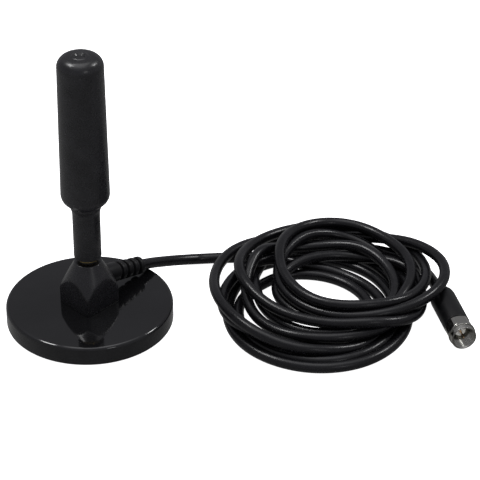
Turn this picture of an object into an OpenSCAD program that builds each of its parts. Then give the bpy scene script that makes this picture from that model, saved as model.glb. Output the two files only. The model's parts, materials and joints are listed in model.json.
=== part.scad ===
// Magnetic-base indoor TV antenna: a round weighted base, a square hub with a coned top,
// a screw-in mast whose thick sleeve hides the radiator, and a coiled coaxial lead that
// ends in a moulded F plug. Millimetres, +Z up. The origin is the centre of the
// underside, where the base pad meets the table. The hub's corners point along X and Y.

/* [Base] */
// Diameter of the round base
base_d = 70; // [60:1:80]
// Height of the base's top face above the table
base_h = 8.5; // [8:0.5:12]
// Radius of the base's rounded top edge
base_edge = 1.5; // [0.5:0.1:2]
// Thickness of the cover's top
cover_t = 2.3; // [2:0.1:2.3]
// Thickness of the cover's skirt
skirt_t = 1.8; // [1.2:0.1:2.4]
// Gap under the cover's skirt, which stands on the pad
skirt_gap = 0.4; // [0.2:0.1:0.8]
// Thickness of the soft pad
pad_t = 1.2; // [0.8:0.1:1.2]
// Thickness of the steel pole plate
plate_t = 1; // [0.8:0.1:1]
// Outer diameter of the ring magnet
magnet_d = 60; // [50:1:60]
// Bore of the ring magnet
magnet_bore = 32; // [30:1:40]

/* [Hub] */
// Width of the hub across its flats
hub_w = 18; // [17:0.5:20]
// Distance from the axis to the hub's blunted corners
hub_corner = 12.3; // [12:0.1:12.7]
// Height of the hub's top above the table
hub_top = 28.8; // [28:0.2:30]
// Radius of the hub's flat top
hub_top_r = 5.6; // [5.2:0.1:6]
// How much the cone widens for each millimetre down
cone_slope = 0.53; // [0.48:0.01:0.56]
// Height of the two hub screws' tips
screw_tip = 14.5; // [12:0.5:14.5]

/* [Mast] */
// Height of the mast's bottom face above the table
mast_z = 31.2; // [31.2:0.2:32]
// Diameter of the slim neck
neck_d = 11.5; // [11:0.1:12]
// Height at which the sleeve begins
sleeve_z = 55; // [54:0.5:56]
// Overall height of the antenna
total_h = 125; // [124:0.5:130]
// Diameter of the sleeve at its lower shoulder
sleeve_low_d = 20.3; // [19:0.1:21]
// Diameter of the sleeve below its rounded top
sleeve_top_d = 19; // [18:0.1:20]
// Diameter of the mast's M5 thread, drawn plain
stud_d = 5; // [5:0.5:5]
// Number of turns of the loading coil
coil_turns = 11; // [8:1:14]

/* [Cable] */
// Diameter of the coaxial lead
cable_d = 4.6; // [3:0.1:5]
// Outer diameter of the coiled lead
coil_d = 106; // [102:1:108]
// Inner diameter of the coiled lead
coil_bore = 38; // [34:1:44]
// Height of the coiled lead
coil_h = 17; // [13:1:20]

/* [Plug] */
// Diameter of the plug's boot
boot_d = 10.9; // [10.4:0.1:11]
// Diameter of the plug nut's flange
nut_d = 11.4; // [11.4:0.1:12]
// Width of the plug nut across its flats
nut_af = 10.4; // [10:0.1:10.6]
// Diameter of the thread inside the nut
nut_thread_d = 9.5; // [9.3:0.1:9.5]
// Diameter of the plug's centre pin
pin_d = 0.9; // [0.8:0.1:1]

/* [Hidden] */
$fn = 96;

black = [0.03, 0.03, 0.032];
gloss_black = [0.02, 0.02, 0.02];
rubber_black = [0.05, 0.05, 0.05];
nickel = [0.75, 0.74, 0.70];
zinc = [0.62, 0.64, 0.66];
brass = [0.78, 0.62, 0.28];
copper = [0.75, 0.42, 0.25];
ferrite = [0.18, 0.18, 0.19];
natural_plastic = [0.92, 0.92, 0.88];

// Base heights and radii
base_r = base_d / 2;
cavity_top = base_h - cover_t;
plate_z = pad_t;
magnet_z = plate_z + plate_t;
cavity_r = base_r - skirt_t;
pad_r = cavity_r - 0.3;
plate_r = magnet_d / 2 + 1.5;
wire_hole_r = 4;
screw_x = 8;
screw_r = 1.3;
screw_head_r = 2.4;
screw_head_t = 1.6;

// Hub cavity, from the base up to the solder tag under the insert
hub_bore_r = 4.6;
insert_r = 4;
insert_z = 23;
tag_t = 0.6;
tag_z = insert_z - tag_t;

// Cable exit through the hub's right rear flat: it leaves a little downhill
exit_turn = 45;
exit_z = 17.6;
exit_dip = 13;
relief_len = 20.4;
relief_bore_r = cable_d / 2 + 0.05;
relief_neck_r = 3;
relief_r = 4.3;
relief_end_r = 3.8;
relief_in = -4.3;
relief_flange_r = 3.6;
relief_flange_t = 1.1;
rib_count = 4;
rib_pitch = 3.55;
rib_gap = 1.3;
rib_depth = 1.2;
crimp_r = 2.7;
crimp_from = -9.4;
crimp_to = -6.6;
rib_start = relief_len - rib_count * rib_pitch;

// Mast
neck_r = neck_d / 2;
stud_r = stud_d / 2;
stud_low = 22.6;
stud_top = 44;
seat_t = (mast_z - hub_top) / 2;
spigot_r = 5;
spigot_top = 66;
sleeve_bore_r = 7.2;
sleeve_bore_top = total_h - 4;
rod_r = 1;
rod_fit = 0.02;
former_z = 71;
former_top = 101;
former_r = 3.4;
wire_r = 0.4;

// Plug: its mouth, the way it points, and lengths back from the mouth
plug_mouth = [155.2, -23.4, nut_d / 2];
plug_turn = 13;
nut_len = 9.1;
collar_len = 2.6;
flange_len = 0.8;
boot_start = -9.3;
boot_end = -37;
post_r = 3.5;
post_back = -26;
post_front = -5.5;
post_flange_r = 4.3;
post_flange_t = 0.9;
shoulder_r = 4.6;
shoulder_back = -13;
insulator_r = 2.4;
insulator_back = -14;
shank_r = 0.7;
pin_end = -0.2;
collar_r = 5.3;
web_t = 1.2;

// Coiled lead
coil_centre = [98.5, 11];
coil_round = 5;

// Where the lead runs from inside the hub to the coil, and from the coil to the plug
lead_route = [[6.4, 6.4, 17.6], [10.2, 10.2, 16.4], [13.9, 13.9, 15.1], [17.4, 17.4, 14], [20.4, 20.4, 13],
    [22.6, 22.5, 12.1], [24.8, 25.2, 10.8], [27.4, 28.4, 9.2], [30.3, 31.7, 7.5], [33.6, 34.8, 5.8],
    [37.4, 37.7, 4.2], [41.3, 39.8, 3.1], [45.6, 41, 2.5], [50.8, 41.8, 2.3], [56.9, 42.5, 2.3], [64, 43, 2.3]];
tail_route = [[125, 49, 2.3], [130, 46.8, 2.3], [134.4, 43.6, 2.3], [138.2, 39.6, 2.3], [141.2, 35, 2.6],
    [143.3, 29.8, 3.3], [144.7, 24.2, 4.6], [145.6, 18.4, 5.5], [146.9, 12.6, 5.7]];

// Point on the exit axis at a distance from the hub's flat
function exit_point(s) =
    let (r = hub_w / 2 + s * cos(exit_dip))
    [r * cos(exit_turn), r * sin(exit_turn), exit_z - s * sin(exit_dip)];

// A round solid swept along a list of points, its rings standing square to the route
function unit(v) = v / norm(v);
function heading(p, i) = unit(p[min(i + 1, len(p) - 1)] - p[max(i - 1, 0)]);
function ring(p, i, r, sides) =
    let (t = heading(p, i),
         a = unit(cross(t, abs(t[2]) > 0.9 ? [1, 0, 0] : [0, 0, 1])),
         b = cross(a, t))
    [for (k = [0:sides - 1]) p[i] + r * (cos(360 * k / sides) * a + sin(360 * k / sides) * b)];

module sweep(p, r, sides) {
    n = len(p);
    points = [for (i = [0:n - 1]) each ring(p, i, r, sides)];
    near_cap = [for (k = [sides - 1:-1:0]) k];
    far_cap = [for (k = [0:sides - 1]) (n - 1) * sides + k];
    walls = [for (i = [0:n - 2], k = [0:sides - 1])
        [i * sides + k, i * sides + (k + 1) % sides,
         (i + 1) * sides + (k + 1) % sides, (i + 1) * sides + k]];
    polyhedron(points = points, faces = concat([near_cap], walls, [far_cap]), convexity = 6);
}

// Points along an arc in the plane of a turned profile
function arc(c, r, from, to, steps) =
    [for (i = [0:steps]) let (a = from + (to - from) * i / steps) c + r * [cos(a), sin(a)]];

module turned(outline) {
    rotate_extrude() polygon(outline);
}

module tube(r, bore, from, to) {
    difference() {
        translate([0, 0, from]) cylinder(r = r, h = to - from);
        translate([0, 0, from - 1]) cylinder(r = bore, h = to - from + 2);
    }
}

module along_exit() {
    translate(exit_point(0)) rotate([0, 90 + exit_dip, exit_turn]) children();
}

module along_plug() {
    translate(plug_mouth) rotate([90, 0, plug_turn]) children();
}

module base_pad() {
    color(rubber_black) cylinder(r = pad_r, h = pad_t);
}

module base_cover() {
    edge_c = [base_r - base_edge, base_h - base_edge];
    color(gloss_black) difference() {
        turned(concat([[0, skirt_gap], [base_r - 0.3, skirt_gap], [base_r, skirt_gap + 0.3]],
            arc(edge_c, base_edge, 0, 90, 8), [[0, base_h]]));
        translate([0, 0, -1]) cylinder(r = cavity_r, h = cavity_top + 1);
        translate([0, 0, cavity_top - 1]) cylinder(r = wire_hole_r, h = cover_t + 2);
        for (x = [-screw_x, screw_x])
            translate([x, 0, cavity_top - 1]) cylinder(r = screw_r + 0.1, h = cover_t + 2, $fn = 48);
    }
}

module steel_plate() {
    color(zinc) translate([0, 0, plate_z]) cylinder(r = plate_r, h = plate_t);
}

module magnet() {
    color(ferrite) tube(magnet_d / 2, magnet_bore / 2, magnet_z, cavity_top);
}

// Square block with blunt corners, cut by a cone from above
module hub() {
    cone_r = 15;
    cone_z = hub_top - (cone_r - hub_top_r) / cone_slope;
    height = hub_top - base_h;
    color(black) difference() {
        intersection() {
            translate([0, 0, base_h]) rotate(45) translate([-hub_w / 2, -hub_w / 2, 0])
                cube([hub_w, hub_w, height]);
            translate([-hub_corner, -hub_corner, base_h]) cube([2 * hub_corner, 2 * hub_corner, height]);
            turned([[0, base_h - 1], [cone_r, base_h - 1], [cone_r, cone_z],
                [hub_top_r + 0.2, hub_top - 0.4], [hub_top_r - 0.4, hub_top], [0, hub_top]]);
        }
        translate([0, 0, base_h - 1]) cylinder(r = hub_bore_r, h = tag_z - base_h + 1);
        translate([0, 0, tag_z - 1]) cylinder(r = insert_r, h = hub_top);
        for (x = [-screw_x, screw_x])
            translate([x, 0, base_h - 1]) cylinder(r = screw_r, h = screw_tip - base_h + 1, $fn = 48);
        along_exit() translate([0, 0, -hub_w / 2]) cylinder(r = relief_neck_r, h = hub_w);
        along_exit() translate([0, 0, -hub_w / 2]) cylinder(r = relief_flange_r, h = hub_w / 2 + relief_in);
    }
}

module hub_screws() {
    color(zinc) for (x = [-screw_x, screw_x]) translate([x, 0, 0]) {
        translate([0, 0, cavity_top]) cylinder(r = screw_r, h = screw_tip - cavity_top, $fn = 48);
        difference() {
            translate([0, 0, cavity_top - screw_head_t])
                cylinder(r = screw_head_r, h = screw_head_t, $fn = 48);
            for (a = [0, 90])
                translate([0, 0, cavity_top - screw_head_t]) rotate(a)
                    cube([3, 0.7, 1.6], center = true);
        }
    }
}

module threaded_insert() {
    color(brass) tube(insert_r, stud_r + 0.05, insert_z, hub_top);
}

module solder_tag() {
    color(brass) tube(insert_r, stud_r + 0.1, tag_z, insert_z);
}

// The lead's centre conductor, bent up to the solder tag
module feed_wire() {
    wire_end = [-2.4, -2.4, tag_z];
    start = exit_point(-9.6);
    color(copper) sweep([start, start + [-0.9, -0.9, 0.3], [-2, -2, 20.3], [-2.4, -2.4, 21.2],
        wire_end], 0.35, 8);
}

module crimp_ring() {
    color(nickel) along_exit() tube(crimp_r, relief_bore_r, crimp_from, crimp_to);
}

// Braid strap from under the crimp ring down to the steel plate
module ground_strap() {
    strap_w = 2;
    strap_t = 0.4;
    strap_top = 17.1;
    foot = 12;
    color(copper) translate([-strap_t / 2, -strap_w / 2, magnet_z]) {
        cube([strap_t, strap_w, strap_top - magnet_z]);
        translate([-foot, 0, 0]) cube([foot + strap_t, strap_w, strap_t]);
    }
}

// Radius of the strain relief's envelope at a distance from the hub's flat
function relief_at(s) = relief_r + (relief_end_r - relief_r) * max(0, s) / relief_len;

module strain_relief() {
    ribs = [for (i = [0:rib_count - 1]) let (s = rib_start + i * rib_pitch) each
        [[relief_at(s) - rib_depth, s], [relief_at(s) - rib_depth, s + rib_gap],
         [relief_at(s + rib_gap), s + rib_gap + 0.15], [relief_at(s + rib_pitch), s + rib_pitch - 0.15]]];
    color(rubber_black) difference() {
        union() {
            difference() {
                along_exit() turned(concat([[0, -3], [relief_r, -3], [relief_r, 0],
                    [relief_at(rib_start), rib_start - 0.15]], ribs,
                    [[relief_end_r - 0.4, relief_len], [0, relief_len]]));
                rotate(exit_turn) translate([-hub_w / 2, -hub_w, 0]) cube([hub_w, 2 * hub_w, hub_top]);
            }
            along_exit() translate([0, 0, relief_in]) cylinder(r = relief_neck_r, h = 1 - relief_in);
            along_exit() translate([0, 0, relief_in - relief_flange_t])
                cylinder(r = relief_flange_r, h = relief_flange_t);
        }
        along_exit() translate([0, 0, -20]) cylinder(r = relief_bore_r, h = 60);
    }
}

module seal_ring() {
    color(rubber_black) tube(4.2, stud_r + 0.1, hub_top, hub_top + seat_t);
}

module mast_washer() {
    color(nickel) tube(4.4, stud_r + 0.08, hub_top + seat_t, mast_z);
}

// Threaded stud, drilled at the top for the radiator rod
module mast_stud() {
    color(nickel) difference() {
        turned([[0, stud_low], [stud_r - 0.4, stud_low], [stud_r, stud_low + 0.4],
            [stud_r, stud_top], [0, stud_top]]);
        translate([0, 0, stud_top - 6]) cylinder(r = rod_r + rod_fit, h = 7, $fn = 48);
    }
}

// Slim neck with a flared top, and the spigot that the sleeve is pressed on to
module mast_neck() {
    flare_r = 6.4;
    color(black) difference() {
        turned(concat([[0, mast_z], [neck_r - 0.6, mast_z], [neck_r, mast_z + 0.6],
            [neck_r, sleeve_z - 4.6]],
            [for (a = [0:20:80]) [neck_r + (flare_r - neck_r) * (1 - cos(a)),
                sleeve_z - 4.6 + 4.2 * sin(a)]],
            [[flare_r, sleeve_z], [spigot_r, sleeve_z], [spigot_r, spigot_top - 0.5],
            [spigot_r - 0.5, spigot_top], [0, spigot_top]]));
        translate([0, 0, mast_z - 1]) cylinder(r = stud_r, h = stud_top - mast_z + 1);
        translate([0, 0, mast_z]) cylinder(r = rod_r + rod_fit, h = spigot_top, $fn = 48);
    }
}

// Hollow sleeve: sloping underside, round shoulder, slight taper, domed top with a dimple
module mast_sleeve() {
    low_r = sleeve_low_d / 2;
    top_r = sleeve_top_d / 2;
    dome = 4.6;
    dome_c = [top_r - dome, total_h - 0.3 - dome];
    color(black) difference() {
        turned(concat([[0, sleeve_z], [6.4, sleeve_z], [6.5, sleeve_z + 1.2], [8.3, sleeve_z + 2.7],
            [9.2, sleeve_z + 3.8], [9.7, sleeve_z + 4.9], [low_r, sleeve_z + 6.2]],
            arc(dome_c, dome, 0, 90, 10),
            [[3.4, total_h - 0.15], [3, total_h], [2.4, total_h], [1.6, total_h - 0.7],
            [0, total_h - 0.7]]));
        translate([0, 0, sleeve_z - 1]) cylinder(r = spigot_r + 0.02, h = 20);
        translate([0, 0, sleeve_z + 7]) cylinder(r = sleeve_bore_r, h = sleeve_bore_top - sleeve_z - 7);
    }
}

module lower_rod() {
    color(copper) translate([0, 0, stud_top - 5.5]) cylinder(r = rod_r, h = former_z - stud_top + 11.5, $fn = 48);
}

module upper_rod() {
    color(copper) translate([0, 0, former_top - 6]) cylinder(r = rod_r, h = 22, $fn = 48);
}

module coil_former() {
    depth = 6.2;
    color(natural_plastic) difference() {
        translate([0, 0, former_z]) cylinder(r = former_r, h = former_top - former_z);
        translate([0, 0, former_z - 1]) cylinder(r = rod_r + rod_fit, h = depth + 1, $fn = 48);
        translate([0, 0, former_top - depth]) cylinder(r = rod_r + rod_fit, h = depth + 1, $fn = 48);
    }
}

// Wire wound round the former, with a tail at each end that reaches the rods
module loading_coil() {
    steps = 14;
    wound_r = (former_r + wire_r + 0.03) / cos(180 / steps);
    low = former_z - 1;
    high = former_top + 1;
    turns = [for (i = [0:coil_turns * steps]) let (a = 360 * i / steps, f = i / (coil_turns * steps))
        [wound_r * cos(a), wound_r * sin(a), low + (high - low) * f]];
    route = concat([[rod_r + 0.4, -1.8, low]], turns, [[rod_r + 0.4, 1.8, high]]);
    color(copper) sweep(route, wire_r, 6);
}

module top_bush() {
    color(natural_plastic) tube(sleeve_bore_r - 0.1, rod_r + rod_fit, 109, 113);
}

module cable_lead() {
    inside = [exit_point(-9.4), exit_point(-5)];
    color(rubber_black) sweep(concat(inside, lead_route), cable_d / 2, 8);
}

// Outer shape of the loosely wound turns, with a notch where the plug lies beside them
module cable_coil() {
    r_in = coil_bore / 2;
    r_out = coil_d / 2;
    a = coil_round;
    color(rubber_black) difference() {
        translate([coil_centre[0], coil_centre[1], 0])
            turned(concat(arc([r_out - a, a], a, -90, 0, 6), arc([r_out - a, coil_h - a], a, 0, 90, 6),
                arc([r_in + a, coil_h - a], a, 90, 180, 6), arc([r_in + a, a], a, 180, 270, 6)));
        along_plug() translate([-7, -20, boot_end - 3]) cube([30, 60, 60]);
    }
}

module cable_tail() {
    color(rubber_black) sweep(tail_route, cable_d / 2, 8);
}

// Moulded boot, hollow for the plug's body
module plug_boot() {
    r = boot_d / 2;
    color(rubber_black) along_plug() difference() {
        turned(concat([[0, boot_end], [2.8, boot_end]], arc([3.6, boot_end + 2.6], 0.9, 250, 180, 3),
            [[3.9, boot_end + 3.4], [4.7, boot_end + 4.6], [5.2, boot_end + 5.9], [r, boot_end + 7.6],
            [r, boot_start - 0.6], [r - 0.5, boot_start], [0, boot_start]]));
        translate([0, 0, boot_end - 1]) cylinder(r = cable_d / 2 + 0.05, h = 40);
        translate([0, 0, post_back]) cylinder(r = post_r, h = 30);
        translate([0, 0, shoulder_back]) cylinder(r = shoulder_r, h = 20);
    }
}

// Crimped post: a sleeve on the cable, a shoulder behind the nut and a flange in front of it
module plug_body() {
    color(nickel) along_plug() difference() {
        union() {
            translate([0, 0, post_back]) cylinder(r = post_r, h = post_front - post_back);
            translate([0, 0, shoulder_back]) cylinder(r = shoulder_r, h = -nut_len - 0.1 - shoulder_back);
            translate([0, 0, post_front - post_flange_t]) cylinder(r = post_flange_r, h = post_flange_t);
        }
        translate([0, 0, post_back - 1]) cylinder(r = cable_d / 2 + 0.05, h = insulator_back - post_back + 1);
        translate([0, 0, insulator_back - 0.5]) cylinder(r = insulator_r, h = 20);
    }
}

module plug_insulator() {
    color(natural_plastic) along_plug() tube(insulator_r, shank_r + 0.01, insulator_back, post_front);
}

// Contact pin on a slightly thicker shank inside the insulator
module plug_pin() {
    color(copper) along_plug() turned([[0, insulator_back], [shank_r, insulator_back],
        [shank_r, post_front], [pin_d / 2, post_front], [pin_d / 2, pin_end - 0.3],
        [pin_d / 2 - 0.25, pin_end], [0, pin_end]]);
}

// Nut that spins on the post: six flats, a round flange and a short round collar
module plug_nut() {
    r = nut_d / 2;
    web_z = post_front - web_t;
    color(nickel) along_plug() difference() {
        union() {
            intersection() {
                translate([0, 0, -nut_len]) cylinder(d = nut_af / cos(30), h = nut_len - collar_len - 0.2, $fn = 6);
                turned([[0, -nut_len], [nut_af / 2 - 0.1, -nut_len], [r, -nut_len + 0.6], [r, 0], [0, 0]]);
            }
            turned([[0, -collar_len - flange_len], [r, -collar_len - flange_len], [r, -collar_len - 0.2],
                [r - 0.2, -collar_len], [collar_r, -collar_len], [collar_r, -0.2], [collar_r - 0.2, 0], [0, 0]]);
        }
        translate([0, 0, web_z]) cylinder(d = nut_thread_d, h = 20);
        translate([0, 0, -20]) cylinder(r = post_r + 0.06, h = 30);
    }
}

base_pad();
base_cover();
steel_plate();
magnet();
hub();
hub_screws();
threaded_insert();
solder_tag();
feed_wire();
crimp_ring();
ground_strap();
strain_relief();
seal_ring();
mast_washer();
mast_stud();
mast_neck();
mast_sleeve();
lower_rod();
coil_former();
loading_coil();
upper_rod();
top_bush();
cable_lead();
cable_coil();
cable_tail();
plug_boot();
plug_body();
plug_insulator();
plug_pin();
plug_nut();
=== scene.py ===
"""Looks for the magnetic-base television antenna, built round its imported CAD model.

The camera and the coiled lead come first, then the finishes, the moulded and turned pieces, the
floor and the lights. Lengths are in metres in the row frame. Outlines of turned and moulded
pieces are written in millimetres and scaled as they are made.
"""

import json
import math

import bpy
import numpy as np
from mathutils import Matrix, Vector


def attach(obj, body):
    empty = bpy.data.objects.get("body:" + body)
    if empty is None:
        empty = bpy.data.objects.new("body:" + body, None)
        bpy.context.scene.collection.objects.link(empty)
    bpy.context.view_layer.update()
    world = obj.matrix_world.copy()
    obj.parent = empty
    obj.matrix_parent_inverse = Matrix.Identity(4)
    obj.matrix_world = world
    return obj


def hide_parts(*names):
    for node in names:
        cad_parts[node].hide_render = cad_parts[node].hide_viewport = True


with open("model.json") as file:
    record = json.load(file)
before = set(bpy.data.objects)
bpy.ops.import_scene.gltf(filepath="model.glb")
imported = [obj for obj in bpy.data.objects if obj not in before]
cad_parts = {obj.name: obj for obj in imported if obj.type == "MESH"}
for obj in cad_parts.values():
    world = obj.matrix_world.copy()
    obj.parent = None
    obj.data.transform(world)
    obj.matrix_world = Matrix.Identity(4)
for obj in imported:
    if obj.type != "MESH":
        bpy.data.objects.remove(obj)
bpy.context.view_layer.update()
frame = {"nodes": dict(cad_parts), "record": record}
MM = 0.001

# ---------------------------------------------------------------- camera

cam = bpy.data.objects.new("camera", bpy.data.cameras.new("camera"))
cam.data.sensor_width = 36
cam.data.lens = 180
cam.data.clip_start = 0.05
cam.data.clip_end = 50
cam.location = (0.06299, -0.8308, 0.5754)
cam.rotation_euler = (math.radians(57.14), 0, 0)
bpy.context.scene.collection.objects.link(cam)
bpy.context.scene.camera = cam

# ---------------------------------------------------------------- shapes


def skin(name, rings, wrap=False, near_pole=None, far_pole=None, at=None, sharp=35, uv=None):
    """A mesh piece whose skin joins ring to ring. wrap joins the last ring to the first, and a
    pole closes an end. rings is an array of (ring, point round it, xyz) in millimetres in the
    piece's own axes, placed by the matrix at. uv is the distance along the piece at each ring."""
    rings = np.asarray(rings, float)
    n, sides = rings.shape[:2]
    points = rings.reshape(-1, 3)
    faces = []
    for i in range(n if wrap else n - 1):
        j = (i + 1) % n
        for k in range(sides):
            m = (k + 1) % sides
            faces.append((i * sides + k, i * sides + m, j * sides + m, j * sides + k))
    for pole, row, turn in ((near_pole, 0, 1), (far_pole, n - 1, -1)):
        if pole is not None:
            points = np.vstack([points, pole])
            c = len(points) - 1
            for k in range(sides):
                a, b = row * sides + k, row * sides + (k + 1) % sides
                faces.append((c, b, a) if turn > 0 else (c, a, b))
    mesh = bpy.data.meshes.new(name)
    mesh.from_pydata((points * MM).tolist(), [], faces)
    if uv is not None:
        layer = mesh.uv_layers.new(name="UVMap")
        values = []
        for i in range(n - 1):
            for k in range(sides):
                values += [(uv[i], k / sides), (uv[i], (k + 1) / sides),
                           (uv[i + 1], (k + 1) / sides), (uv[i + 1], k / sides)]
        values += [(0, 0)] * (len(mesh.loops) - len(values))
        layer.data.foreach_set("uv", np.array(values, np.float32).ravel())
    if at is not None:
        mesh.transform(at)
    mesh.validate()
    mesh.shade_smooth()
    mesh.set_sharp_from_angle(angle=math.radians(sharp))
    obj = bpy.data.objects.new(name, mesh)
    bpy.context.scene.collection.objects.link(obj)
    return obj


def fillet(corners, closed=True, steps=5):
    """Points of an outline whose corners (r, z, radius) are rounded where a radius is given."""
    out = []
    n = len(corners)
    for i, corner in enumerate(corners):
        here = np.array(corner[:2], float)
        radius = corner[2] if len(corner) > 2 else 0
        if not radius or (not closed and i in (0, n - 1)):
            out.append(here)
            continue
        a = np.array(corners[i - 1][:2]) - here
        b = np.array(corners[(i + 1) % n][:2]) - here
        la, lb = np.linalg.norm(a), np.linalg.norm(b)
        a, b = a / la, b / lb
        half = 0.5 * math.acos(max(-1, min(1, a @ b)))
        t = min(radius / math.tan(half), 0.48 * la, 0.48 * lb)
        r = t * math.tan(half)
        centre = here + (a + b) / np.linalg.norm(a + b) * r / math.sin(half)
        u, v = here + a * t - centre, here + b * t - centre
        angle = math.acos(max(-1, min(1, u @ v / (r * r))))
        if angle < 1e-3:
            out.append(here)
            continue
        for k in range(steps + 1):
            f = k / steps
            arm = (math.sin((1 - f) * angle) * u + math.sin(f * angle) * v) / math.sin(angle)
            out.append(centre + arm)
    return out


def circle(sides):
    """The angles of evenly spaced points round a circle."""
    return np.arange(sides) * 2 * math.pi / sides


def ring_at(r, z, turn):
    """A ring of points about the local z axis; r and z are numbers or one value for each angle in turn."""
    z = np.broadcast_to(np.asarray(z, float), turn.shape)
    return np.stack([r * np.cos(turn), r * np.sin(turn), z], axis=1)


def lathe(name, corners, sides=128, at=None, closed=True, steps=5, sharp=35):
    """A turned piece. Its outline is a closed loop, or open with both ends on the axis."""
    outline = fillet(corners, closed, steps)
    near = far = None
    if not closed:
        near, far = (0, 0, outline[0][1]), (0, 0, outline[-1][1])
        outline = outline[1:-1]
    turn = circle(sides)
    rings = [ring_at(r, z, turn) for r, z in outline]
    return skin(name, rings, wrap=closed, near_pole=near, far_pole=far, at=at, sharp=sharp)


def soft_min(radii, power):
    """The smallest of several radii at each angle, with its corners rounded off."""
    return sum(np.maximum(r, 1e-6) ** -power for r in radii) ** (-1 / power)


def tube_rings(path, radius, sides):
    """Rings square to a path, without twist. radius is a number or one for each point."""
    path = np.asarray(path, float)
    heading = np.gradient(path, axis=0)
    heading /= np.linalg.norm(heading, axis=1)[:, None]
    side = np.cross(heading[0], (0, 0, 1.0))
    if np.linalg.norm(side) < 1e-3:
        side = np.cross(heading[0], (1.0, 0, 0))
    radius = np.broadcast_to(np.asarray(radius, float), len(path))
    turn = circle(sides)
    rings = []
    for p, t, r in zip(path, heading, radius):
        side = side - t * (side @ t)
        side /= np.linalg.norm(side)
        up = np.cross(side, t)
        rings.append(p + r * (np.cos(turn)[:, None] * side + np.sin(turn)[:, None] * up))
    return np.array(rings)


# ---------------------------------------------------------------- the lead: facts and route

CORD_D = 0.0046
CORD_R = CORD_D / 2
STEP = 0.0022
COIL_CENTRE = np.array([0.098, 0.009])
PLUG_MOUTH = np.array([0.1552, -0.0234, 0.0057])
PLUG_TURN = math.radians(13)
PLUG_WAY = np.array([math.sin(PLUG_TURN), -math.cos(PLUG_TURN), 0])
BOOT_BACK = PLUG_MOUTH - 0.037 * PLUG_WAY
PLUG_R = 0.0056  # what the turns keep clear of

# From inside the hub, out of the strain relief and down to the table
LEAD = [
    (0.0064, 0.0064, 0.0176), (0.0102, 0.0102, 0.0164), (0.0139, 0.0139, 0.0151), (0.0174, 0.0174, 0.0140),
    (0.0204, 0.0204, 0.0130), (0.0226, 0.0225, 0.0121), (0.0248, 0.0252, 0.0108), (0.0274, 0.0284, 0.0092),
    (0.0303, 0.0317, 0.0075), (0.0336, 0.0348, 0.0058), (0.0374, 0.0377, 0.0042), (0.0413, 0.0398, 0.0031),
    (0.0456, 0.0410, 0.0025), (0.0508, 0.0418, 0.0023), (0.0569, 0.0425, 0.0023), (0.0640, 0.0430, 0.0023),
]
# From the coil round to the plug's boot, and on inside it
TAIL = [
    (0.1250, 0.0490, 0.0023), (0.1300, 0.0468, 0.0023), (0.1344, 0.0436, 0.0023), (0.1382, 0.0396, 0.0023),
    (0.1412, 0.0350, 0.0026), (0.1433, 0.0298, 0.0033), (0.1447, 0.0242, 0.0046), (0.1456, 0.0184, 0.0055),
    (0.1469, 0.0126, 0.0057),
]
F = CORD_R  # the height of a strand that lies on the floor
# Each turn of the coil: its reach from the centre and its height where it passes the far side,
# the right, the near side and the left
TURNS = [
    ((0.0400, F), (0.0375, F), (0.0485, F), (0.0380, F)),
    ((0.0330, F), (0.0330, F), (0.0440, F), (0.0395, F)),
    ((0.0222, F), (0.0215, F), (0.0375, 0.003), (0.0442, 0.0025)),
    ((0.0250, 0.005), (0.0275, 0.005), (0.0445, 0.005), (0.0448, 0.0075)),
    ((0.0475, 0.006), (0.0545, 0.012), (0.0235, 0.010), (0.0205, 0.011)),
    ((0.0430, 0.010), (0.0355, 0.005), (0.0360, 0.0065), (0.0350, 0.0055)),
    ((0.0345, 0.010), (0.0325, 0.009), (0.0258, 0.008), (0.0232, 0.0085)),
    ((0.0285, 0.007), (0.0475, 0.005), (0.0280, 0.0085), (0.0340, 0.011)),
    ((0.0490, 0.007), (0.0450, 0.0085), (0.0245, 0.0125), (0.0190, 0.0145)),
    ((0.0495, 0.012), (0.0400, 0.007), (0.0320, 0.007), (0.0305, 0.003)),
]
# Where a turn leaves its oval: the turn, the quarters past its far side, and how far out
BULGES = (
    (1, 2.5, 0.002), (4, 2.5, -0.001), (4, 3.5, 0.006), (5, 0.5, -0.004), (5, 1.5, 0.0005),
    (7, 2.5, -0.0045), (8, 1.5, 0.004), (8, 3.5, 0.004), (9, 1.5, 0.003), (9, 2.5, -0.001),
    (10, 0.5, -0.0035),
)
BULGE_WIDTH = 0.45  # in quarter turns
# Reach and height where the lead joins the coil and leaves it, and the bearings of those places
COIL_START = (0.034, F)
COIL_END = (0.047, F)
START_DEG = 134
END_DEG = 56


def spline(knots, at):
    """Points at the knot numbers in at, on the smooth curve through the knots."""
    v = np.asarray(knots, float)
    i = np.clip(np.floor(at).astype(int), 0, len(v) - 2)
    t = at - i
    if v.ndim > 1:
        t = t[:, None]
    a, b, c, d = (v[np.clip(i + k, 0, len(v) - 1)] for k in (-1, 0, 1, 2))
    square, cube = 2 * a - 5 * b + 4 * c - d, 3 * b - a - 3 * c + d
    return 0.5 * (2 * b + (c - a) * t + square * t * t + cube * t**3)


def evenly(points, step):
    """The same route with points about one step apart."""
    along = np.r_[0, np.cumsum(np.linalg.norm(np.diff(points, axis=0), axis=1))]
    at = np.linspace(0, along[-1], int(round(along[-1] / step)) + 1)
    return np.stack([np.interp(at, along, points[:, k]) for k in range(3)], axis=1)


def smoothed(points, part, times):
    """The route with one part averaged with its neighbours a number of times."""
    for _ in range(times):
        q = points.copy()
        q[1:-1] = 0.25 * points[:-2] + 0.5 * points[1:-1] + 0.25 * points[2:]
        points[part] = q[part]
    return points


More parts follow.
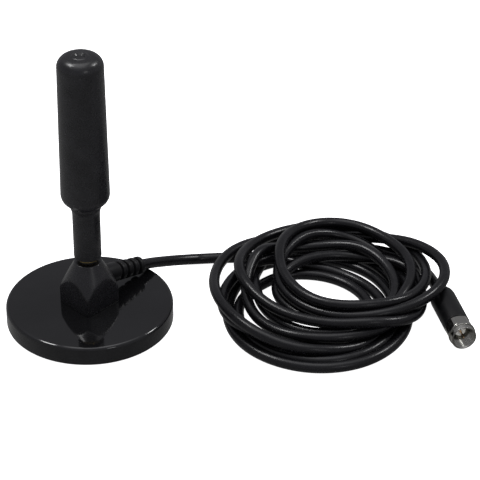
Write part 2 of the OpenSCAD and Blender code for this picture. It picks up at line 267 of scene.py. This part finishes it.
def wound_route():
    """The lead's route as it is wound, before it settles, and how free each point is to move."""
    knots = [COIL_START] + [p for turn in TURNS for p in turn] + [COIL_END]
    first = (180 - START_DEG) / 90
    last = 4 * len(TURNS) + 1 + (90 - END_DEG) / 90
    at = np.linspace(first, last, int((last - first) * 24))
    height = np.maximum(spline([p[1] for p in knots] + [F], at), F)
    # The far side, right, near side and left of the oval that the lead follows at each point
    sides = []
    for k in (1, 2, 3, 0):
        reach = [p[0] for p in knots[k::4]]
        sides.append(spline(reach, np.clip((at - k) / 4, 0, len(reach) - 1)))
    far, right, near, left = sides
    angle = np.radians(180 - 90 * at)
    out = sum(far_out * np.exp(-(((at - 4 * turn + 3 - quarter) / BULGE_WIDTH) ** 2))
              for turn, quarter, far_out in BULGES)
    x = (right - left) / 2 + ((right + left) / 2 + out) * np.cos(angle)
    y = (far - near) / 2 + ((far + near) / 2 + out) * np.sin(angle)
    coil = np.stack([COIL_CENTRE[0] + x, COIL_CENTRE[1] + y, height], axis=1)
    lead = evenly(spline(LEAD, np.linspace(0, len(LEAD) - 1, 200)), STEP)
    tail = evenly(spline(TAIL, np.linspace(0, len(TAIL) - 1, 150)), STEP)
    route = evenly(np.vstack([lead, evenly(coil, STEP)[5:-5], tail]), STEP)
    a, b, ramp = len(lead) - 6, len(route) - len(tail) + 5, 9
    free = np.ones(len(route))
    free[:a] = 0
    free[b:] = 0
    free[a : a + ramp] = np.linspace(0, 1, ramp)
    free[b - ramp : b] = np.linspace(1, 0, ramp)
    route = smoothed(route, slice(a - 4, b + 4), 40)
    route = smoothed(route, slice(14, a - 4), 25)
    route = smoothed(route, slice(b + 4, len(route) - 2), 25)
    return route, free


def settled(route, free, steps=150, knot=0.013, stiffness=0.3, sink=0.00003):
    """The wound lead laid down on itself: each turn sinks, bends smoothly and is pushed a
    diameter off whatever it touches. Its shape is a cubic spline with knots a knot length apart."""
    n, d = len(route), CORD_D
    knots = int(n * STEP / knot) + 3
    x = np.arange(n) * (knots - 3) / (n - 1)
    i = np.minimum(x.astype(int), knots - 4)
    t = x - i
    basis = np.zeros((n, knots))
    parts = ((1 - t) ** 3 / 6, (3 * t**3 - 6 * t**2 + 4) / 6,
             (3 * t + 3 * t**2 - 3 * t**3 + 1) / 6, t**3 / 6)
    for k, part in enumerate(parts):
        basis[np.arange(n), i + k] = part
    basis *= free[:, None]
    second = np.diff(np.eye(knots), 2, axis=0)
    bend = second.T @ second
    spread = np.linalg.inv(basis.T @ basis + 0.002 * np.eye(knots) + 0.02 * bend) @ basis.T
    relax = [np.linalg.inv(np.eye(knots) + k * stiffness * bend) for k in (1, 0.3, 0.08)]
    down = spread @ np.outer(free, (0, 0, -1.0))
    plug_far, plug_way, plug_reach = PLUG_MOUTH, BOOT_BACK - PLUG_MOUTH, PLUG_R + CORD_R
    c = np.zeros((knots, 3))
    for step in range(steps):
        f = step / steps
        c += down * (sink * max(0, 1 - 1.15 * f))
        if f < 0.92:
            c = relax[min(2, int(f * 3))] @ c
        c[:, :2] *= 0.996
        if step % 6 == 0:
            p = route + basis @ c
            near = ((p[:, None, :] - p[None, :, :]) ** 2).sum(2) < (1.9 * d) ** 2
            a, b = np.nonzero(near)
            later = b - a > 8
            a, b = a[later], b[later]
            above = route[b, 2] - route[a, 2] + 1e-6
            over = np.where(np.abs(above) > 0.001, np.sign(above), 1) * np.clip(np.abs(above) / 0.003, 0.3, 1)
        for _ in range(4):
            p = route + basis @ c
            v = p[b] - p[a]
            apart = np.linalg.norm(v, axis=1)
            flat = np.hypot(v[:, 0], v[:, 1])
            v[:, 2] += over * np.clip(1 - flat / (0.9 * d), 0, 1) * 0.9 * d * (1 - f)
            v /= np.linalg.norm(v, axis=1)[:, None] + 1e-12
            short = np.maximum(d * min(1, 0.4 + 0.75 * f) - apart, 0)
            push, count = np.zeros_like(p), np.zeros(n)
            np.add.at(push, a, -0.5 * v * short[:, None])
            np.add.at(push, b, 0.5 * v * short[:, None])
            np.add.at(count, a, short > 0)
            np.add.at(count, b, short > 0)
            push *= 1.6 / np.sqrt(np.maximum(count, 1))[:, None]
            at = np.clip((p - plug_far) @ plug_way / (plug_way @ plug_way), 0, 0.95)
            off = p - plug_far - at[:, None] * plug_way
            gap = np.linalg.norm(off, axis=1) + 1e-12
            inside = np.maximum(plug_reach - gap, 0)
            inside[-16:] = 0
            push += off * (inside / gap)[:, None]
            push[:, 2] += np.maximum(CORD_R - p[:, 2], 0)
            c += spread @ (push * free[:, None])
    p = route + basis @ c
    p[:, 2] = np.maximum(p[:, 2], 0.98 * CORD_R)
    return p


route, free = wound_route()
route = settled(route, free)
inside_boot = BOOT_BACK + np.outer(np.arange(1, 6) * STEP, PLUG_WAY)
route = np.vstack([route, inside_boot])
along_lead = np.r_[0, np.cumsum(np.linalg.norm(np.diff(route, axis=0), axis=1))]
lead = skin(
    "coax_lead", tube_rings(route / MM, CORD_R / MM, 24), near_pole=route[0] / MM,
    far_pole=route[-1] / MM, sharp=60, uv=along_lead,
)
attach(lead, "base")
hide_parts("cable_lead", "cable_coil", "cable_tail")

# ---------------------------------------------------------------- finishes


def material(name, colour, rough, metallic=0.0, rough_spread=0.05, tint_spread=0.25, blotch=150,
             grain=(3500, 4e-6), wave=None, lines=None, scratches=None, shine=0.5):
    """A finish with uneven colour and roughness, mould grain, and where asked long waves, drawn
    lines or hairlines. Scales are in cycles per metre, heights in metres."""
    mat = bpy.data.materials.new(name)
    mat.use_nodes = True
    nodes, links = mat.node_tree.nodes, mat.node_tree.links
    shader = nodes["Principled BSDF"]
    shader.inputs["Metallic"].default_value = metallic
    shader.inputs["Specular IOR Level"].default_value = shine
    place = nodes.new("ShaderNodeTexCoord")

    def noise(scale, detail=3.0, source=None, rough_amount=0.55):
        n = nodes.new("ShaderNodeTexNoise")
        n.inputs["Scale"].default_value = scale
        n.inputs["Detail"].default_value = detail
        n.inputs["Roughness"].default_value = rough_amount
        links.new(source or place.outputs["Object"], n.inputs["Vector"])
        return n.outputs["Fac"]

    def ranged(value, low, high, to_low, to_high):
        m = nodes.new("ShaderNodeMapRange")
        m.inputs["From Min"].default_value = low
        m.inputs["From Max"].default_value = high
        m.inputs["To Min"].default_value = to_low
        m.inputs["To Max"].default_value = to_high
        links.new(value, m.inputs["Value"])
        return m.outputs["Result"]

    mix = nodes.new("ShaderNodeMix")
    mix.data_type = "RGBA"
    links.new(ranged(noise(blotch), 0.3, 0.7, 0, 1), mix.inputs["Factor"])
    low = [c * (1 - tint_spread) for c in colour]
    high = [min(1, c * (1 + tint_spread)) for c in colour]
    mix.inputs["A"].default_value = (*low, 1)
    mix.inputs["B"].default_value = (*high, 1)
    links.new(mix.outputs["Result"], shader.inputs["Base Color"])

    roughness = ranged(noise(blotch * 3.1, 5), 0.3, 0.7, rough - rough_spread, rough + rough_spread)
    height, bumps = None, [(noise(grain[0], 2), grain[1])]
    if wave:
        bumps.append((noise(wave[0], 1), wave[1]))
    if lines:
        stretch = nodes.new("ShaderNodeMapping")
        stretch.inputs["Scale"].default_value = lines[0]
        links.new(place.outputs[lines[2]], stretch.inputs["Vector"])
        bumps.append((noise(1, 2, stretch.outputs["Vector"], 0.4), lines[1]))
    if scratches:
        stretch = nodes.new("ShaderNodeMapping")
        stretch.inputs["Scale"].default_value = scratches[0]
        stretch.inputs["Rotation"].default_value = (0, 0, scratches[2])
        links.new(place.outputs["Object"], stretch.inputs["Vector"])
        hair = ranged(noise(1, 2, stretch.outputs["Vector"], 0.5), 0.64, 0.7, 0, scratches[1])
        add = nodes.new("ShaderNodeMath")
        add.operation = "ADD"
        links.new(roughness, add.inputs[0])
        links.new(hair, add.inputs[1])
        roughness = add.outputs["Value"]
    links.new(roughness, shader.inputs["Roughness"])
    for value, size in bumps:
        bump = nodes.new("ShaderNodeBump")
        bump.inputs["Strength"].default_value = 1
        bump.inputs["Distance"].default_value = size
        links.new(value, bump.inputs["Height"])
        if height is not None:
            links.new(height, bump.inputs["Normal"])
        height = bump.outputs["Normal"]
    links.new(height, shader.inputs["Normal"])
    return mat


FINISH = {
    "gloss_cover": material("cover gloss", (0.005, 0.005, 0.0055), 0.065, rough_spread=0.025, blotch=60,
                            grain=(900, 6e-7), wave=(55, 1.2e-5), scratches=((40, 2400, 40), 0.10, 0.6)),
    "hub_plastic": material("hub satin", (0.0080, 0.0078, 0.0092), 0.27,
                            grain=(4200, 5e-6), wave=(120, 1.5e-5)),
    "mast_plastic": material("mast satin", (0.0066, 0.0065, 0.0076), 0.28,
                             grain=(3800, 4e-6), wave=(90, 1.5e-5)),
    "soft_black": material("soft vinyl", (0.0030, 0.0030, 0.0035), 0.42, shine=0.24,
                           rough_spread=0.07, grain=(3000, 1.2e-5)),
    "cable_jacket": material("jacket vinyl", (0.0040, 0.0039, 0.0048), 0.27, shine=0.32,
                             rough_spread=0.06, blotch=90, grain=(2600, 6e-6),
                             lines=((25, 40, 1), 6e-6, "UV")),
    "pad_foam": material("pad foam", (0.02, 0.02, 0.02), 0.85, rough_spread=0.08,
                         grain=(1800, 6e-5)),
    "nickel": material("nickel plate", (0.40, 0.395, 0.365), 0.18, metallic=1,
                       tint_spread=0.06, grain=(2500, 2e-6)),
    "zinc_steel": material("zinc plate", (0.58, 0.59, 0.61), 0.30, metallic=1,
                           tint_spread=0.10, grain=(1500, 4e-6)),
    "brass": material("turned brass", (0.72, 0.55, 0.24), 0.24, metallic=1,
                      tint_spread=0.10, grain=(2500, 2e-6)),
    "copper": material("bare copper", (0.54, 0.38, 0.24), 0.26, metallic=1,
                       tint_spread=0.12, grain=(2500, 2e-6)),
    "ferrite": material("ferrite", (0.06, 0.06, 0.065), 0.60, grain=(1600, 3e-5)),
    "natural_plastic": material("milky plastic", (0.78, 0.77, 0.72), 0.42, tint_spread=0.05,
                                grain=(2500, 5e-6)),
}

for row in frame["record"]["subparts"]:
    node = frame["nodes"][row["node"]]
    node.data.materials.clear()
    node.data.materials.append(FINISH[row["material_slot"]])
lead.data.materials.append(FINISH["cable_jacket"])


def dress(piece, finish, body, *nodes):
    """Gives a piece its finish, the body it rides on and the CAD nodes it stands for."""
    piece.data.materials.append(FINISH[finish])
    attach(piece, body)
    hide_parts(*nodes)
    return piece


# ---------------------------------------------------------------- base

dress(lathe("base_cover_shell", [
    (34.75, 0.4), (35.0, 0.65, 0.15), (35.0, 8.5, 1.5), (4.0, 8.5), (4.0, 6.2),
    (33.2, 6.2, 0.5), (33.2, 0.4),
], sides=256, steps=10), "gloss_cover", "base", "base_cover")
dress(lathe("foot_pad", [
    (0, 0), (32.3, 0, 0.4), (32.9, 0.5, 0.3), (32.9, 1.2, 0.2), (0, 1.2),
], sides=160, closed=False), "pad_foam", "base", "base_pad")

# ---------------------------------------------------------------- hub

HUB_LOW, HUB_TOP = 8.5, 28.8
HUB_HALF, HUB_BLUNT = 9, 12.3  # from the axis to a flat and to a blunted corner
CONE_TOP_R, CONE_SLOPE = 5.6, 0.53
HUB_SHARPNESS = 46


def hub_block():
    """A square block with blunt corners cut by a cone, open down its middle for the brass insert."""
    turn = circle(384)
    flats = [HUB_HALF / np.maximum(np.cos(turn - math.radians(45 + 90 * k)), 1e-3) for k in range(4)]
    blunts = [HUB_BLUNT / np.maximum(np.cos(turn - math.radians(90 * k)), 1e-3) for k in range(4)]
    rings = []
    for z in np.r_[HUB_LOW, HUB_LOW + 0.2, np.linspace(HUB_LOW + 0.4, HUB_TOP - 0.45, 96)]:
        inset = 0.12 * max(0, (HUB_LOW + 0.2 - z) / 0.2) ** 2
        cone = CONE_TOP_R + CONE_SLOPE * (HUB_TOP - z) + 0.06
        edge = soft_min([*flats, *blunts, np.full_like(turn, cone)], HUB_SHARPNESS)
        rings.append(ring_at(edge - inset, z, turn))
    for a in np.radians((15, 35, 55, 75, 90)):
        rings.append(ring_at(5.42 + 0.4 * math.cos(a), HUB_TOP - 0.4 + 0.4 * math.sin(a), turn))
    for r, z in ((4.2, HUB_TOP), (4.02, HUB_TOP - 0.2), (4.02, 22.4), (4.6, 22.4), (4.6, HUB_LOW)):
        rings.append(ring_at(r, z, turn))
    return skin("hub_block", rings, wrap=True, sharp=40)


dress(hub_block(), "hub_plastic", "base", "hub")

# ---------------------------------------------------------------- strain relief

# The relief leaves the hub's back right flat, tipped 13 degrees down
EXIT_PLACE = Vector((HUB_HALF * math.cos(math.pi / 4), HUB_HALF * math.sin(math.pi / 4), 17.6)) * MM
EXIT = (Matrix.Translation(EXIT_PLACE) @ Matrix.Rotation(math.radians(45), 4, "Z")
        @ Matrix.Rotation(math.radians(103), 4, "Y"))
RELIEF_LEN, RIBS, PITCH = 20.4, 4, 3.55
RELIEF_BORE = 2.32


def relief_r(s):
    """The relief's radius at a distance from the hub's flat; it tapers toward the lead."""
    return 4.3 + (3.8 - 4.3) * s / RELIEF_LEN


COLLAR_LEN = RELIEF_LEN - RIBS * PITCH
outline = [(RELIEF_BORE, -0.9), (relief_r(0), -0.9), (relief_r(COLLAR_LEN), COLLAR_LEN - 0.1, 0.5)]
for k in range(RIBS):
    s = COLLAR_LEN + k * PITCH
    last = k == RIBS - 1
    outline += [
        (relief_r(s) - 1.2, s + 0.1, 0.3), (relief_r(s) - 1.2, s + 1.15, 0.3),
        (relief_r(s + 1.3), s + 1.35, 0.45), (relief_r(s + PITCH), s + PITCH - 0.1, 0.9 if last else 0.5),
    ]
outline += [(RELIEF_BORE, RELIEF_LEN)]
dress(lathe("strain_relief_sleeve", outline, sides=96, at=EXIT, steps=4),
      "soft_black", "base", "strain_relief")

# ---------------------------------------------------------------- mast seat and stud

dress(lathe("seal_gasket", [
    (2.6, 28.8), (4.1, 28.8, 0.35), (4.22, 29.4, 0.5), (4.1, 30, 0.35), (2.6, 30),
], sides=96), "soft_black", "mast_seat", "seal_ring")
dress(lathe("lock_washer", [(2.6, 30), (4.4, 30, 0.2), (4.4, 31.2, 0.2), (2.6, 31.2)], sides=96),
      "brass", "mast_seat", "mast_washer")
MAST_PITCH = 0.8
STUD_R, STUD_LOW, STUD_TOP = 2.49, 22.6, 44


def thread_wave(turn, z, pitch):
    """0 at the root and 1 at the crest of a right-handed thread."""
    phase = (z / pitch - turn / (2 * math.pi)) % 1
    return np.clip(1.35 * (1 - np.abs(2 * phase - 1)) - 0.1, 0, 1)


def stud():
    """The mast's stud, threaded where it enters the hub and plain inside the neck."""
    turn = circle(72)
    rings = [ring_at(r, STUD_LOW, turn) for r in (1.4, 2.0)]
    for z in np.arange(22.7, 31.2, MAST_PITCH / 12):
        crest = min(STUD_R, 2.05 + 0.55 * (z - STUD_LOW))
        radius = np.minimum(crest, 2.04 + 0.45 * thread_wave(turn, z, MAST_PITCH))
        rings.append(ring_at(radius, z, turn))
    rings += [ring_at(STUD_R, 31.4, turn), ring_at(STUD_R, STUD_TOP, turn)]
    return skin("mast_screw", rings, near_pole=(0, 0, STUD_LOW), far_pole=(0, 0, STUD_TOP), sharp=50)


dress(stud(), "nickel", "mast", "mast_stud")

# ---------------------------------------------------------------- mast

NECK_R, FLARE_LOW = 5.75, 50.4
NECK = [(2.55, 31.2), (NECK_R, 31.2, 0.55), (NECK_R, FLARE_LOW, 0.3)]
NECK += [(NECK_R + 0.65 * (1 - math.cos(a)), FLARE_LOW + 4.2 * math.sin(a))
         for a in np.radians((20, 40, 60, 80))]
NECK += [(6.4, 55), (5.0, 55), (5.0, 65.9, 0.4), (1.05, 65.9), (1.05, 44.1), (2.55, 44.1)]
dress(lathe("neck_tube", NECK, sides=128), "mast_plastic", "mast", "mast_neck")

TOP = 125.0
DOME_R = 4.6
# The ringed dimple, the dome, the tapered side with its rounded foot, and the hollow inside
SLEEVE = [(0, TOP - 0.7), (1.55, TOP - 0.7, 0.3), (2.35, TOP - 0.02, 0.25), (3.05, TOP - 0.02, 0.3),
          (3.5, TOP - 0.22, 0.3)]
SLEEVE += [(4.9 + DOME_R * math.sin(a), TOP - 4.9 + DOME_R * math.cos(a))
           for a in np.radians(np.arange(4, 91, 6))]
SLEEVE += [(9.5, TOP - 6), (10.15, 61.2, 1.5), (9.85, 59.9, 1.0), (9.3, 58.8, 1.2), (8.3, 57.7, 1.5),
           (6.5, 56.2, 0.5), (6.4, 55.0, 0.2), (5.03, 55.0), (5.03, 62, 0.2), (7.2, 62, 0.3),
           (7.2, 121, 1.5), (0, 121)]
dress(lathe("mast_sleeve_shell", SLEEVE, sides=160, closed=False, steps=6),
      "mast_plastic", "mast", "mast_sleeve")

# ---------------------------------------------------------------- plug

PLUG = (Matrix.Translation(Vector(PLUG_MOUTH)) @ Matrix.Rotation(PLUG_TURN, 4, "Z")
        @ Matrix.Rotation(math.pi / 2, 4, "X"))

BOOT = [(2.35, -37), (2.9, -37, 0.3), (3.75, -36.2, 0.5), (3.9, -33.7, 0.8), (4.7, -32.4, 1.0),
        (5.2, -31.1, 1.5), (5.45, -29.4, 1.5), (5.45, -9.3, 0.55), (4.62, -9.3, 0.1), (4.62, -13),
        (3.52, -13), (3.52, -26), (2.35, -26)]
boot = dress(lathe("plug_boot_moulded", BOOT, sides=112, at=PLUG), "soft_black", "base", "plug_boot")

NUT_FLAT, FLANGE_R, COLLAR_R = 5.2, 5.7, 5.3
NUT_BACK = -9.1
NUT_SHARPNESS = 150
NUT_PITCH = 0.794


def f_nut():
    """The plug's nut: six flats with bevelled corners, a flange, a collar and a threaded mouth."""
    turn = circle(240)
    hexagon = soft_min([NUT_FLAT / np.maximum(np.cos(turn - math.radians(30 + 60 * k)), 1e-3)
                        for k in range(6)], NUT_SHARPNESS)
    rings = []
    for z in (NUT_BACK, -9.02, -8.9, -8.7, -8.5, -8.2, -7.0, -5.0, -4.0, -3.7, -3.52):
        bevel = 4.98 + 0.12 * min(1, (z - NUT_BACK) / 0.08) + (z - NUT_BACK)
        front = FLANGE_R - 0.12 * max(0, (z + 3.8) / 0.28)
        corners = np.full_like(turn, min(bevel, front, FLANGE_R))
        rings.append(ring_at(soft_min([hexagon, corners], NUT_SHARPNESS), z, turn))
    for r, z in fillet([(5.25, -3.5), (FLANGE_R, -3.5, 0.12), (FLANGE_R, -2.6, 0.15),
                        (COLLAR_R, -2.6, 0.05), (COLLAR_R, 0, 0.18), (4.8, 0, 0.1), (4.62, -0.3)],
                       closed=False, steps=4):
        rings.append(ring_at(r, z, turn))
    for z in np.arange(-0.4, -6.3, -NUT_PITCH / 12):
        fade = min(1, (-0.3 - z) / 0.5, (z + 6.5) / 0.3)
        rings.append(ring_at(4.76 - 0.40 * max(0, fade) * thread_wave(turn, -z, -NUT_PITCH), z, turn))
    for r, z in ((4.75, -6.4), (4.72, -6.7), (3.6, -6.7), (3.56, -6.75), (3.56, NUT_BACK)):
        rings.append(ring_at(r, z, turn))
    return skin("f_nut", rings, wrap=True, at=PLUG, sharp=32)


nut = dress(f_nut(), "nickel", "nut", "plug_nut")
insulator = dress(lathe("pin_insulator", [
    (0.72, -14), (2.38, -14, 0.1), (2.38, -5.45, 0.25), (1.3, -5.45, 0.2), (1.0, -5.9, 0.2),
    (0.72, -6.0),
], sides=64, at=PLUG), "natural_plastic", "base", "plug_insulator")
pin = dress(lathe("contact_pin", [
    (0, -14), (0.7, -14), (0.7, -6.1, 0.1), (0.45, -5.9, 0.1), (0.45, -0.6, 0.3),
    (0.2, -0.2, 0.12), (0, -0.2),
], sides=40, at=PLUG, closed=False), "copper", "base", "plug_pin")

# ---------------------------------------------------------------- floor and light

floor_mat = bpy.data.materials.new("floor")
floor_mat.use_nodes = True
for socket, value in (("Base Color", (0.9, 0.9, 0.9, 1)), ("Roughness", 0.9),
                      ("Emission Color", (1, 1, 1, 1)), ("Emission Strength", 1.0)):
    floor_mat.node_tree.nodes["Principled BSDF"].inputs[socket].default_value = value
floor_mesh = bpy.data.meshes.new("floor")
floor_mesh.from_pydata([(-8, -8, 0), (8, -8, 0), (8, 8, 0), (-8, 8, 0)], [], [(0, 1, 2, 3)])
floor_mesh.materials.append(floor_mat)
floor = bpy.data.objects.new("floor", floor_mesh)
bpy.context.scene.collection.objects.link(floor)
floor.visible_glossy = False

# The world is white to the camera, and a dimmer glow from above and from the table to the object
world = bpy.data.worlds.new("studio")
bpy.context.scene.world = world
world.use_nodes = True
wn, wl = world.node_tree.nodes, world.node_tree.links
back = wn["Background"]
coord = wn.new("ShaderNodeTexCoord")
split = wn.new("ShaderNodeSeparateXYZ")
wl.new(coord.outputs["Generated"], split.inputs["Vector"])
ramp = wn.new("ShaderNodeValToRGB")
lift = wn.new("ShaderNodeMapRange")
lift.inputs["From Min"].default_value = -1
wl.new(split.outputs["Z"], lift.inputs["Value"])
wl.new(lift.outputs["Result"], ramp.inputs["Fac"])
ramp.color_ramp.interpolation = "EASE"
LEVELS = ((0, 0.34), (0.52, 0.34), (0.77, 0.27), (0.93, 0.5), (1, 0.8))
while len(ramp.color_ramp.elements) < len(LEVELS):
    ramp.color_ramp.elements.new(0.5)
for element, (position, level) in zip(ramp.color_ramp.elements, LEVELS):
    element.position = position
    element.color = (level * 0.98, level * 0.98, level * 1.05, 1)
# Below the horizon the table's glow is weaker in front and to the right
table = wn.new("ShaderNodeVectorMath")
table.operation = "DOT_PRODUCT"
table.inputs[1].default_value = (-0.06, 0.05, 0)
wl.new(coord.outputs["Generated"], table.inputs[0])
glow = wn.new("ShaderNodeMath")
glow.inputs[1].default_value = 0.21
wl.new(table.outputs["Value"], glow.inputs[0])
below = wn.new("ShaderNodeMapRange")
below.inputs["From Min"].default_value = 0.1
below.inputs["From Max"].default_value = -0.1
wl.new(split.outputs["Z"], below.inputs["Value"])
both = wn.new("ShaderNodeMix")
both.data_type = "RGBA"
wl.new(below.outputs["Result"], both.inputs["Factor"])
wl.new(ramp.outputs["Color"], both.inputs["A"])
wl.new(glow.outputs["Value"], both.inputs["B"])
wl.new(both.outputs["Result"], back.inputs["Color"])
back.inputs["Strength"].default_value = 1.0
plain = wn.new("ShaderNodeBackground")
plain.inputs["Color"].default_value = (1, 1, 1, 1)
seen = wn.new("ShaderNodeLightPath")
mix = wn.new("ShaderNodeMixShader")
wl.new(seen.outputs["Is Camera Ray"], mix.inputs["Fac"])
wl.new(back.outputs["Background"], mix.inputs[1])
wl.new(plain.outputs["Background"], mix.inputs[2])
wl.new(mix.outputs["Shader"], wn["World Output"].inputs["Surface"])

MIDDLE = Vector((0.06, 0.0, 0.03))


def softbox(name, way, distance, size, power):
    """A rectangular soft light that faces the object from a direction."""
    data = bpy.data.lights.new(name, "AREA")
    data.shape = "RECTANGLE"
    data.size, data.size_y = size
    data.energy = power
    obj = bpy.data.objects.new(name, data)
    way = Vector(way).normalized()
    obj.location = MIDDLE + way * distance
    obj.rotation_euler = way.to_track_quat("Z", "Y").to_euler()
    bpy.context.scene.collection.objects.link(obj)


softbox("left box", (-0.44, 0.18, 0.88), 1.3, (0.44, 0.20), 5.2)
softbox("right box", (0.62, 0.27, 0.74), 1.3, (0.26, 0.20), 3.6)
softbox("front box", (0.42, -0.76, 0.50), 1.5, (0.25, 0.18), 0.8)
softbox("top box", (0.0, 0.35, 0.94), 1.5, (0.7, 0.5), 1.5)
sky = bpy.data.objects.new("overhead", bpy.data.lights.new("overhead", "SUN"))
sky.data.energy = 0.25
sky.data.angle = math.radians(34)
bpy.context.scene.collection.objects.link(sky)

bpy.context.scene.view_settings.view_transform = "Standard"
